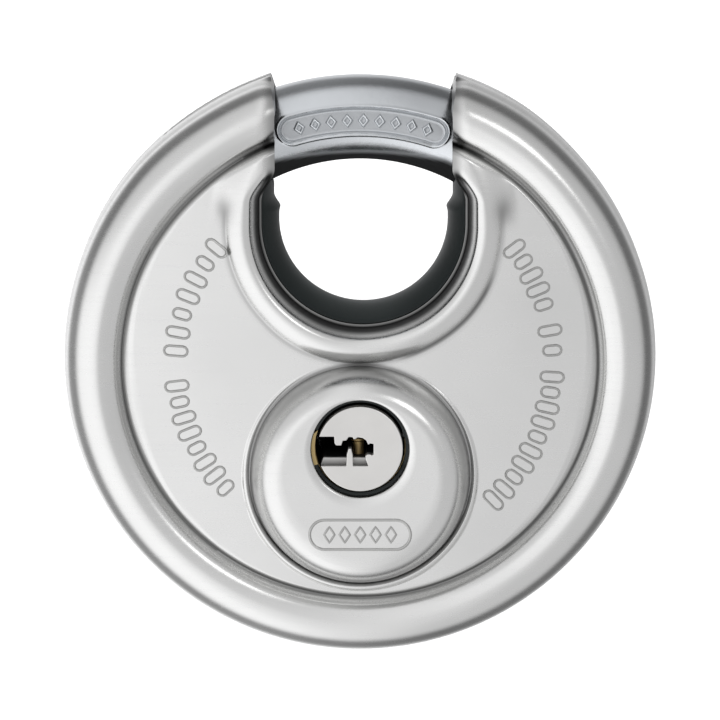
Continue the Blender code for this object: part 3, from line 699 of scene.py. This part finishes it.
def shackle(finish):
    """A bar on the disc's own circle. For clock c and angle a round it, the point is at ARC + rho cos a
    from the middle and rho sin a in front, where rho is its radius and the panel's relief. The tail is
    cut flat."""
    clock, size = bar_stations()
    turn = np.concatenate([np.linspace(64, 116, 62)[:-1], np.linspace(116, 424, 70)[:-1]])
    c, a = np.radians(clock)[None, :], np.radians(turn)[:, None]
    front = (np.abs(clock) < PANEL_CLOCK)[None, :] & (np.abs(turn - 90) < PANEL_TURN)[:, None]
    relief = np.where(front, panel_relief(ARC * c - PANEL_SHIFT, WIRE * np.cos(a)), 0)
    rho = (WIRE + relief) * size
    radius = ARC + rho * np.cos(a)
    z = rho * np.sin(a)
    z = np.where(clock > BAR_FLAT_FROM, np.maximum(z, BAR_FLAT), z)
    grid = np.stack([radius * np.sin(c), radius * np.cos(c), z], axis=-1)
    grid = np.concatenate([grid, grid[:1]])
    points, faces = grid.reshape(-1, 3), grid_faces(*grid.shape[:2])
    made = piece("shackle_bar", points, faces.tolist(), "shackle", finish, ["shackle"], SHARP_SHEET)
    return shade_the_bar(made)


def shade_the_bar(made):
    """Painted shade along the inner side of the bar, which faces away from the light, and in the panel's
    hollows.
    """
    x, y, z = bench_places(made.data)
    out = np.hypot(x, y) - ARC
    rho = np.hypot(out, z)
    # Painted shade: near black on the inner side of the bar, less towards its ends, and lighter in the
    # panel's hollows.
    inner = eased((-out / rho - 0.68 + 0.22 * np.minimum((x / 10) ** 2, 1)) / 0.16)
    hollow = eased((WIRE - rho - 0.1) / 0.25) * (rho > WIRE - 0.6) * (z > 0)
    return note_painted_shade(made, 0.97 * inner + 0.3 * hollow)


def keyway():
    """The warded slot about the plug's axis, from the lower left round to the upper left."""
    left = -math.sqrt(PLUG_RADIUS**2 - KEYWAY_FLOOR**2)
    upper_left = -math.sqrt(PLUG_RADIUS**2 - KEYWAY_ROOF**2)
    return [
        (left, KEYWAY_FLOOR),
        (left + 0.3, KEYWAY_FLOOR),
        (-1.62, KEYWAY_FLOOR),
        (-1.55, -0.6),
        (-1.36, 0.05),
        (-1.02, 0.05),
        (-0.85, -0.7),
        (-0.8, KEYWAY_FLOOR),
        (0.95, KEYWAY_FLOOR),
        (0.66, -1.3),
        (0.6, -0.85),
        (0.8, -0.62),
        (1.2, -0.62),
        (1.36, -0.75),
        (1.56, -0.6),
        (1.56, 0.6),
        (1.2, 0.66),
        (0.95, 0.5),
        (0.72, 1.0),
        (0.3, 1.3),
        (-0.25, 1.38),
        (-0.5, 1.2),
        (-0.72, 1.12),
        (-0.9, 1.4),
        (-1.3, 1.42),
        (-1.62, 1.0),
        (-2.0, 0.98),
        (-2.2, 0.42),
        (-2.8, 0.42),
        (-3.0, 0.7),
        (-3.04, KEYWAY_ROOF),
        (upper_left, KEYWAY_ROOF),
    ]


def plug_outline():
    """The plug's circle, broken at the left by the keyway, as one closed line."""
    slot = np.array(keyway())
    first, last = clock_of(slot[[-1, 0]])
    last += 360 * (last < first)
    rim = on_circle(PLUG_RADIUS, np.linspace(first, last, 100))
    steps = 1 + 3 * (np.linalg.norm(np.diff(slot, axis=0), axis=1) > 0.6)
    fine = [np.linspace(a, b, n, endpoint=False) for a, b, n in zip(slot[:-1], slot[1:], steps)]
    return np.concatenate([rim[:-1], *fine])


def inset(path, amount):
    """A closed line moved to the right of its own direction, at each corner by the mean of its two sides'
    normals."""
    ahead = np.roll(path, -1, axis=0) - path
    ahead /= np.linalg.norm(ahead, axis=1)[:, None]
    both = ahead + np.roll(ahead, 1, axis=0)
    both /= np.maximum(np.linalg.norm(both, axis=1), 0.3)[:, None]
    return path + np.stack([both[:, 1], -both[:, 0]], axis=1) * amount


def prism(path, levels):
    """A closed line carried through (inset, height, floor) levels, from the front to the back, with flat
    ends. Inside the plug's circle no point is lower than the floor."""
    rows = []
    for amount, z, floor in levels:
        line = inset(path, amount)
        inside = np.hypot(path[:, 0], path[:, 1]) < PLUG_RADIUS - 0.01
        line[:, 1] = np.where(inside, np.maximum(line[:, 1], floor), line[:, 1])
        rows.append(at_height(line, z))
    count = len(path)
    front = list(range(count))
    back = [corner + count * (len(levels) - 1) for corner in front[::-1]]
    return np.concatenate(rows), grid_faces(len(levels), count, ring=True).tolist() + [front, back]


def turned(profile, steps, centre_y=0.0):
    """A profile of (radius, height), carried round a line through (0, centre_y). Its ends lie on that
    line."""
    profile = np.array(profile, float)
    clock = np.linspace(0, 360, steps, endpoint=False)
    grid = at_height(on_circle(profile[:, :1], clock, centre_y), profile[:, 1:])
    return grid.reshape(-1, 3), grid_faces(len(profile), steps, ring=True)


def plug(finish):
    """The keyed front of the plug with a fine bevel on every edge, and its tail with a flat on top. The
    keyway has a ledge a little way in, and is darkened behind it with painted shade, for the shadow inside
    it."""
    levels = (
        (0.1, PLUG_FACE, NO_FLOOR),
        (0.03, PLUG_FACE - 0.03, NO_FLOOR),
        (0, PLUG_FACE - 0.1, NO_FLOOR),
        (0, KEYWAY_LEDGE, NO_FLOOR),
        (0, KEYWAY_LEDGE, KEYWAY_SILL),
        (0, KEYWAY_LEDGE - 1.0, KEYWAY_SILL),
        (0, KEYWAY_BACK, KEYWAY_SILL),
    )
    front_points, front_faces = prism(plug_outline(), levels)
    tail = (
        (0, KEYWAY_BACK + 0.05), (PLUG_RADIUS, KEYWAY_BACK + 0.05), (PLUG_RADIUS, -2.2), (2.6, -2.2),
        (2.6, -8.45), (2.0, -8.45), (2.0, -9.35), (2.6, -9.35), (2.6, -9.7), (2.5, -9.8), (0, -9.8),
    )
    tail_points, tail_faces = turned(tail, 64)
    behind = tail_points[:, 2] < -2.5
    tail_points[behind, 1] = np.minimum(tail_points[behind, 1], PLUG_TAIL_TOP)
    points = np.concatenate([front_points, tail_points]) + [0, PLUG_Y, 0]
    faces = front_faces + (tail_faces + len(front_points)).tolist()
    made = piece("plug_fine", points, faces, "plug", finish, ["plug"], SHARP_PLUG)
    _, y, z = bench_places(made.data)
    # Painted shade in the keyway: a little on the walls just inside the face, more on the ledge, and near
    # black deeper in.
    ledge = (y - PLUG_Y < KEYWAY_FLOOR + 0.05) & (z < PLUG_FACE - 0.3) & (z > KEYWAY_LEDGE - 0.1)
    deep = eased((KEYWAY_LEDGE - 0.02 - z) / 0.3)
    return note_painted_shade(made, 0.25 * (z < PLUG_FACE - 0.2) + 0.5 * ledge + deep)


def key_pin(number, z, top, finish):
    """A pin with a flat, flared tip on a thin neck, standing in the plug and parted from its driver pin at
    the shear line."""
    low = -(PLUG_RADIUS - 0.05)
    profile = (
        (0, top), (0.7, top), (0.8, top - 0.1), (0.8, top - 0.3), (0.68, top - 0.45), (0.66, top - 1.9),
        (PIN_RADIUS, top - 2.1), (PIN_RADIUS, low + 0.25), (PIN_RADIUS - 0.2, low), (0, low),
    )
    points, faces = turned(profile, 40)
    points = np.stack([points[:, 0] + PIN_X, points[:, 2] + PLUG_Y, z - points[:, 1]], axis=1)
    name = f"key_pin_{number}"
    return piece(name + "_fine", points, faces, "plug", finish, [name], SHARP_PIN)


def drill_plate(finish):
    """The hard plate under the boss: from the ring round the plug, notched at the left, out to a circle
    about the boss, and never narrower than a thin ring."""
    clock = np.linspace(0, 360, 181)
    from_left = np.abs(clock - 270)
    hole = PLATE_HOLE + 1.0 * (1 - eased((from_left - 20.5) / 1.5))
    narrowest = hole + 0.6
    inner = on_circle(hole, clock, PLUG_Y)
    outer = on_circle(PLATE_RADIUS, clock, BOSS_Y)
    reach = np.linalg.norm(outer - [0, PLUG_Y], axis=1)
    outer = np.where((reach < narrowest)[:, None], on_circle(narrowest, clock, PLUG_Y), outer)
    edge = (0, PLATE_FRONT - 0.04)
    levels = (edge, (0.01, PLATE_FRONT), (1, PLATE_FRONT), (1, PLATE_BACK), (0, PLATE_BACK), edge)
    grid = np.stack([at_height(inner + (outer - inner) * t, z) for t, z in levels])
    points, faces = grid.reshape(-1, 3), grid_faces(*grid.shape[:2])
    return piece("drill_plate_fine", points, faces, "case", finish, ["drill_plate"])


# ---------------------------------------------------------------- finishes


class Level:
    """A number that varies over a surface or the sky. Arithmetic on it adds the Math nodes that work it
    out."""

    def __init__(self, nodes, socket):
        self.nodes = nodes
        self.socket = socket

    def maths(self, operation, *values):
        node = self.nodes.node("ShaderNodeMath", {"operation": operation}, dict(enumerate(values)))
        return Level(self.nodes, node.outputs[0])

    def __add__(self, other):
        return self.maths("ADD", self, other)

    def __radd__(self, other):
        return self.maths("ADD", other, self)

    def __sub__(self, other):
        return self.maths("SUBTRACT", self, other)

    def __rsub__(self, other):
        return self.maths("SUBTRACT", other, self)

    def __mul__(self, other):
        return self.maths("MULTIPLY", self, other)

    def __rmul__(self, other):
        return self.maths("MULTIPLY", other, self)

    def spread(self, low, high):
        """0 below low and 1 above high."""
        sockets = {"Value": self, "From Min": low, "From Max": high}
        node = self.nodes.node("ShaderNodeMapRange", {"clamp": True}, sockets)
        return Level(self.nodes, node.outputs["Result"])


class Nodes:
    """A node tree, and short ways to add to it."""

    def __init__(self, tree):
        self.tree = tree

    def join(self, value, socket):
        source = value.socket if isinstance(value, Level) else value
        if isinstance(source, bpy.types.NodeSocket):
            self.tree.links.new(source, socket)
        else:
            socket.default_value = source

    def node(self, kind, settings=None, sockets=None):
        made = self.tree.nodes.new(kind)
        for key, value in (settings or {}).items():
            setattr(made, key, value)
        for key, value in (sockets or {}).items():
            self.join(value, made.inputs[key])
        return made


class Finish(Nodes):
    """A material with one surface shader, and short ways to add the nodes that vary it."""

    def __init__(self, slot, name, colour, roughness, metallic=1.0):
        self.slot = slot
        self.colour = colour
        self.material = bpy.data.materials.new(name)
        self.material.use_nodes = True
        super().__init__(self.material.node_tree)
        self.surface = self.tree.nodes["Principled BSDF"]
        self.put({"Base Color": (*colour, 1), "Roughness": roughness, "Metallic": metallic})

    def put(self, sockets):
        for name, value in sockets.items():
            self.join(value, self.surface.inputs[name])

    def painted_shade(self):
        """The painted shade noted at the vertices. It is 0 on a mesh that has none."""
        return Level(self, self.node("ShaderNodeAttribute", {"attribute_name": "painted_shade"}).outputs["Fac"])

    def mixed(self, amount, first, second):
        """One colour turned into another by an amount. The Mix node's colours are at 6 and 7, and come out
        at 2."""
        mix = self.node("ShaderNodeMix", {"data_type": "RGBA"}, {"Factor": amount})
        self.join(first, mix.inputs[6])
        self.join(second, mix.inputs[7])
        return mix.outputs[2]

    def darkened_by_shade(self, colour, amount):
        """A colour turned towards near black by an amount of painted shade."""
        return self.mixed(amount, colour, SHADE_BLACK)

    def place(self, stretch=(1, 1, 1)):
        """Where a point is on the object, stretched along each axis."""
        where = self.node("ShaderNodeTexCoord").outputs["Object"]
        return self.node("ShaderNodeMapping", None, {"Vector": where, "Scale": stretch}).outputs["Vector"]

    def clouds(self, scale, detail=2.0, stretch=(1, 1, 1), roughness=0.5):
        sockets = {"Vector": self.place(stretch), "Scale": scale, "Detail": detail, "Roughness": roughness}
        return Level(self, self.node("ShaderNodeTexNoise", None, sockets).outputs[0])

    def pits(self, scale):
        sockets = {"Vector": self.place(), "Scale": scale}
        return Level(self, self.node("ShaderNodeTexVoronoi", None, sockets).outputs["Distance"])

    def shade(self, amount, darker, lighter):
        """A colour between two tints of the finish's own."""
        tints = [(*[part * tint for part in self.colour], 1) for tint in (darker, lighter)]
        return self.mixed(amount, *tints)

    def bump(self, height, distance, strength=1.0):
        sockets = {"Height": height, "Distance": distance, "Strength": strength}
        self.put({"Normal": self.node("ShaderNodeBump", None, sockets).outputs["Normal"]})


def satin_steel(name, slot, colour, roughness, grain=1.0):
    """Pressed and blasted steel: a soft cloud in its colour, fine scratches one way, and a pin-prick
    grain."""
    made = Finish(slot, name, colour, roughness)
    cloud = made.clouds(90, 3)
    scratches = made.clouds(60, 3, (3, 3, 60)).spread(0.45, 0.75)
    fine = made.clouds(2600, 2)
    # Painted shade noted on the mesh turns the colour towards near black and dulls the metal.
    painted_shade = made.painted_shade()
    made.put({
        "Base Color": made.darkened_by_shade(made.shade(cloud, 0.93, 1.05), painted_shade),
        "Roughness": roughness - 0.04 + 0.07 * cloud + 0.05 * scratches + 0.05 * fine + 0.2 * painted_shade,
    })
    made.bump(fine * 0.6 + scratches * 0.4, 3e-6 * grain)
    return made


def zinc_plate(name, slot, colour, roughness):
    """Zinc plate over drawn bar: blue-grey clouds, and a rougher peened skin."""
    made = Finish(slot, name, colour, roughness)
    cloud = made.clouds(160, 3)
    peened = made.clouds(1500, 3, roughness=0.6)
    # Painted shade noted on the mesh turns the plate near black, rough and without reflection.
    painted_shade = made.painted_shade()
    made.put({
        "Base Color": made.darkened_by_shade(made.shade(cloud, 0.9, 1.06), painted_shade),
        "Roughness": roughness - 0.06 + 0.08 * cloud + 0.08 * peened + 0.5 * painted_shade,
        "Metallic": 1 - 0.9 * painted_shade,
        "Specular IOR Level": 0.0,
    })
    made.bump(peened, 1.2e-5)
    return made


def cast_metal(name, slot, colour, roughness):
    """As cast: a grainy skin with small pits."""
    made = Finish(slot, name, colour, roughness)
    grain = made.clouds(1100, 4, roughness=0.65)
    pits = made.pits(700).spread(0.0, 0.25)
    made.put({"Base Color": made.shade(grain, 0.75, 1.15), "Roughness": roughness - 0.08 + 0.2 * grain})
    made.bump(grain * 0.6 + pits * 0.4, 2.5e-5)
    return made


def machined(name, slot, colour, roughness, stretch):
    """Machined metal: fine tool lines across one axis, and a stain that dulls it in places."""
    made = Finish(slot, name, colour, roughness)
    lines = made.clouds(300, 2, stretch)
    stain = made.clouds(240, 3)
    # Painted shade noted on the mesh, as in the plug's keyway, darkens the colour and dulls the metal.
    painted_shade = made.painted_shade()
    made.put({
        "Base Color": made.darkened_by_shade(made.shade(stain, 0.9, 1.06), painted_shade),
        "Roughness": roughness - 0.05 + 0.1 * stain + 0.08 * lines + 0.3 * painted_shade,
        "Metallic": 1 - 0.8 * painted_shade,
    })
    made.bump(lines, 4e-6)
    return made


def moulded_plastic(name, slot, colour, roughness):
    """Moulded plastic: a soft sheen, with a faint ripple and a fine matt grain."""
    made = Finish(slot, name, colour, roughness, 0.0)
    made.put({"Specular IOR Level": 0.15})
    ripple = made.clouds(110, 1)
    grain = made.clouds(2200, 2)
    made.put({
        "Base Color": made.shade(ripple, 0.8, 1.25),
        "Roughness": roughness - 0.05 + 0.1 * grain,
    })
    made.bump(grain, 4e-6)
    return made


def finish_the_frame(finishes):
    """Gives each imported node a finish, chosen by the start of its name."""
    by_name = (
        ("core_screw", "zinc"), ("core_", "cast"), ("cylinder_housing", "brass"), ("housing_pin", "zinc"),
        ("drill_plate", "black"), ("spring_cover", "brass"), ("driver_pin", "brass"),
        ("pin_spring", "spring"),
        ("closed_stop", "zinc"), ("open_stop", "zinc"), ("shackle", "zinc"), ("rack_rivet", "zinc"),
        ("plug", "nickel"), ("key_pin", "brass"), ("driver_sector", "zinc"), ("tail_clip", "spring"),
        ("front_shell", "steel"), ("rear_shell", "steel"), ("throat_liner", "plastic"),
    )
    for name, node in frame["nodes"].items():
        use = next(finish for start, finish in by_name if name.startswith(start))
        node.data.materials.clear()
        node.data.materials.append(finishes[use].material)


# ---------------------------------------------------------------- setting


def sky():
    """A light tent. It is white before the lock, grey beside and behind it, and white again straight
    behind. It is brighter on the left and below than on the right."""
    world = bpy.data.worlds.new("light_tent")
    bpy.context.scene.world = world
    world.use_nodes = True
    tree = Nodes(world.node_tree)
    where = tree.node("ShaderNodeTexCoord").outputs["Generated"]
    parts = tree.node("ShaderNodeSeparateXYZ", None, {0: where})
    x, y, z = (Level(tree, parts.outputs[axis]) for axis in "XYZ")
    ramp = tree.node("ShaderNodeValToRGB", None, {0: 0.5 + 0.5 * y})
    elements = ramp.color_ramp.elements
    while len(elements) < len(TENT):
        elements.new(0.5)
    for element, (place, light) in zip(elements, TENT):
        element.position = (1 + place) / 2
        element.color = (light, light, light * 1.01, 1)
    above_left = x.spread(-0.05, -0.4) * z.spread(0.05, 0.4)
    strength = 1.22 - 0.58 * x.spread(-0.25, 0.2) - 0.07 * z - 0.42 * above_left
    background = world.node_tree.nodes["Background"]
    tree.join(ramp.outputs["Color"], background.inputs["Color"])
    tree.join(strength, background.inputs["Strength"])


def lamp(name, place, size, power, target=(0, 0, 0)):
    """A soft square lamp that faces a target."""
    data = bpy.data.lights.new(name, "AREA")
    data.size = size
    data.energy = power
    made = bpy.data.objects.new(name, data)
    bpy.context.scene.collection.objects.link(made)
    aim(made, place, target)
    return made


def aim(obj, place, target):
    """Puts an object at a place, its -Z towards a target and its +Y upwards."""
    back = np.subtract(place, target)
    back = back / np.linalg.norm(back)
    right = np.cross((0, 0, 1), back)
    right /= np.linalg.norm(right)
    over = np.cross(back, right)
    turn = np.eye(4)
    turn[:3, 0], turn[:3, 1], turn[:3, 2], turn[:3, 3] = right, over, back, place
    obj.matrix_world = Matrix(turn.tolist())


def studio():
    """A pale floor below the lock, lamps, and a camera in front and a little above."""
    floor_z = FLOOR * MM
    mesh = bpy.data.meshes.new("floor")
    corners = [(x * FLOOR_HALF, y * FLOOR_HALF, floor_z) for x, y in ((-1, -1), (1, -1), (1, 1), (-1, 1))]
    mesh.from_pydata(corners, [], [(0, 1, 2, 3)])
    floor = bpy.data.objects.new("floor", mesh)
    bpy.context.scene.collection.objects.link(floor)
    pale = Finish("", "pale_floor", (0.9, 0.9, 0.9), 0.7, 0.0)
    pale.put({"Base Color": pale.shade(pale.clouds(3, 2), 0.99, 1.01)})
    mesh.materials.append(pale.material)
    floor.visible_glossy = False
    middle = (0, 0, DISC_Z * MM)
    lamp("lamp_behind", (0, 2.2, 2.4), 2.6, 120, (0, 2.4, 0)).visible_glossy = False
    lamp("lamp_right", (0.42, -0.85, 0.42), 0.3, 0.5, middle)

    lens = bpy.data.cameras.new("camera")
    lens.sensor_width = 36
    lens.lens = 36 * CAMERA_DISTANCE / FRAME_WIDTH
    camera = bpy.data.objects.new("camera", lens)
    bpy.context.scene.collection.objects.link(camera)
    bpy.context.scene.camera = camera
    down = math.radians(CAMERA_ABOVE)
    target = np.array([AIM_X * MM, 0, (DISC_Z + AIM_Y / math.cos(down)) * MM])
    away = np.array([0, -math.cos(down), math.sin(down)]) * CAMERA_DISTANCE * MM
    aim(camera, target + away, target)
    bpy.context.scene.view_settings.view_transform = "Standard"


def build():
    steel = satin_steel("satin_stainless", "stainless", (0.8, 0.8, 0.79), 0.22)
    # The marks are the case's own steel; their darker colour is painted shade along the pressed beads.
    shaded_marks = satin_steel("stainless_marks_shaded", "stainless", (0.5, 0.5, 0.49), 0.22)
    zinc = zinc_plate("zinc_plate", "zinc_plated_steel", (0.72, 0.745, 0.77), 0.2)
    nickel = machined("satin_nickel", "nickel_plated_brass", (0.78, 0.77, 0.75), 0.34, (1, 1, 30))
    # Brass muted to an olive tone, and darkened: the darkening is painted shade for the brass deep inside
    # the keyway.
    brass = machined("brass", "brass", (0.5, 0.38, 0.18), 0.3, (1, 30, 1))
    spring = machined("spring_wire", "spring_steel", (0.55, 0.55, 0.56), 0.3, (1, 30, 1))
    pin_brass = machined("pin_brass", "brass", (0.72, 0.54, 0.26), 0.55, (1, 30, 1))
    cast = cast_metal("die_cast", "die_cast_zinc", (0.5, 0.51, 0.53), 0.5)
    black = cast_metal("blackened", "blackened_steel", (0.05, 0.055, 0.055), 0.4)
    plastic = moulded_plastic("black_liner", "black_plastic", (0.025, 0.03, 0.03), 0.42)
    finishes = {
        "steel": steel, "zinc": zinc, "nickel": nickel, "brass": brass, "spring": spring,
        "cast": cast, "black": black, "plastic": plastic,
    }
    finish_the_frame(finishes)
    front_shell(steel)
    rear_shell(steel)
    rim_weld(steel)
    boss_badge(shaded_marks)
    web_marks(shaded_marks)
    throat_liner(plastic)
    shackle(zinc)
    plug(nickel)
    for place, top in enumerate(PIN_TOPS):
        key_pin(place + 1, FIRST_PIN - PIN_PITCH * place, top, pin_brass)
    drill_plate(black)


build()
sky()
studio()
